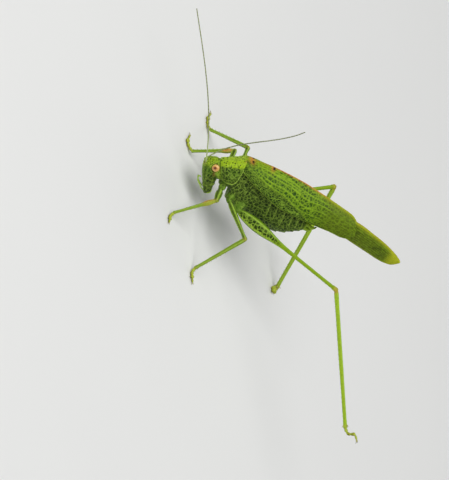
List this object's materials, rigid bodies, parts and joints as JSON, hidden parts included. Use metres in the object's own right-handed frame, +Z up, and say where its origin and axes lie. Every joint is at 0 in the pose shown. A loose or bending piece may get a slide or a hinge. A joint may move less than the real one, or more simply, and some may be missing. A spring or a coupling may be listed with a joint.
{
  "type": "long horned grasshopper",
  "caption": "Life-size still model of a green long-horned grasshopper standing head down, one long hind leg stretched out clear of the floor.",
  "frame": {"origin": "centre of the bounding box's bottom, on the floor that the feet stand on", "axes": "+Z up; +Y towards the tail, so the head faces -Y; +X towards the animal's left"},
  "size_m": [0.0312, 0.0428, 0.0184],
  "materials": {
    "body_green": "satin leaf green, dotted darker",
    "trunk_green": "satin dark green, dotted",
    "wing_green": "leathery leaf green with a net of veins",
    "yellow_green": "satin yellow green",
    "eye_orange": "glossy pale orange",
    "feeler_olive": "dull olive grey"
  },
  "bodies": {
    "root": {"abdomen": "trunk_green", "antenna_left_base": "feeler_olive", "antenna_left_middle": "feeler_olive", "antenna_left_tip": "feeler_olive", "antenna_right_base": "feeler_olive", "antenna_right_middle": "feeler_olive", "antenna_right_tip": "feeler_olive", "cercus_left": "body_green", "cercus_right": "body_green", "coxa_fore_left": "body_green", "coxa_fore_right": "body_green", "coxa_hind_left": "body_green", "coxa_hind_right": "body_green", "coxa_mid_left": "body_green", "coxa_mid_right": "body_green", "eye_left": "eye_orange", "eye_right": "eye_orange", "femur_fore_left": "body_green", "femur_fore_right": "body_green", "femur_hind_left": "body_green", "femur_hind_right": "body_green", "femur_mid_left": "body_green", "femur_mid_right": "body_green", "head": "body_green", "hindwing_left": "yellow_green", "hindwing_right": "yellow_green", "palp_left": "body_green", "palp_right": "body_green", "prothorax": "body_green", "scape_left": "body_green", "scape_right": "body_green", "subgenital_plate": "body_green", "tarsus_fore_left": "yellow_green", "tarsus_fore_right": "yellow_green", "tarsus_hind_left": "yellow_green", "tarsus_hind_right": "yellow_green", "tarsus_mid_left": "yellow_green", "tarsus_mid_right": "yellow_green", "tegmen_left": "wing_green", "tegmen_right": "wing_green", "thorax": "trunk_green", "tibia_fore_left": "yellow_green", "tibia_fore_right": "yellow_green", "tibia_hind_left": "yellow_green", "tibia_hind_right": "yellow_green", "tibia_mid_left": "yellow_green", "tibia_mid_right": "yellow_green"}
  },
  "joints": []
}
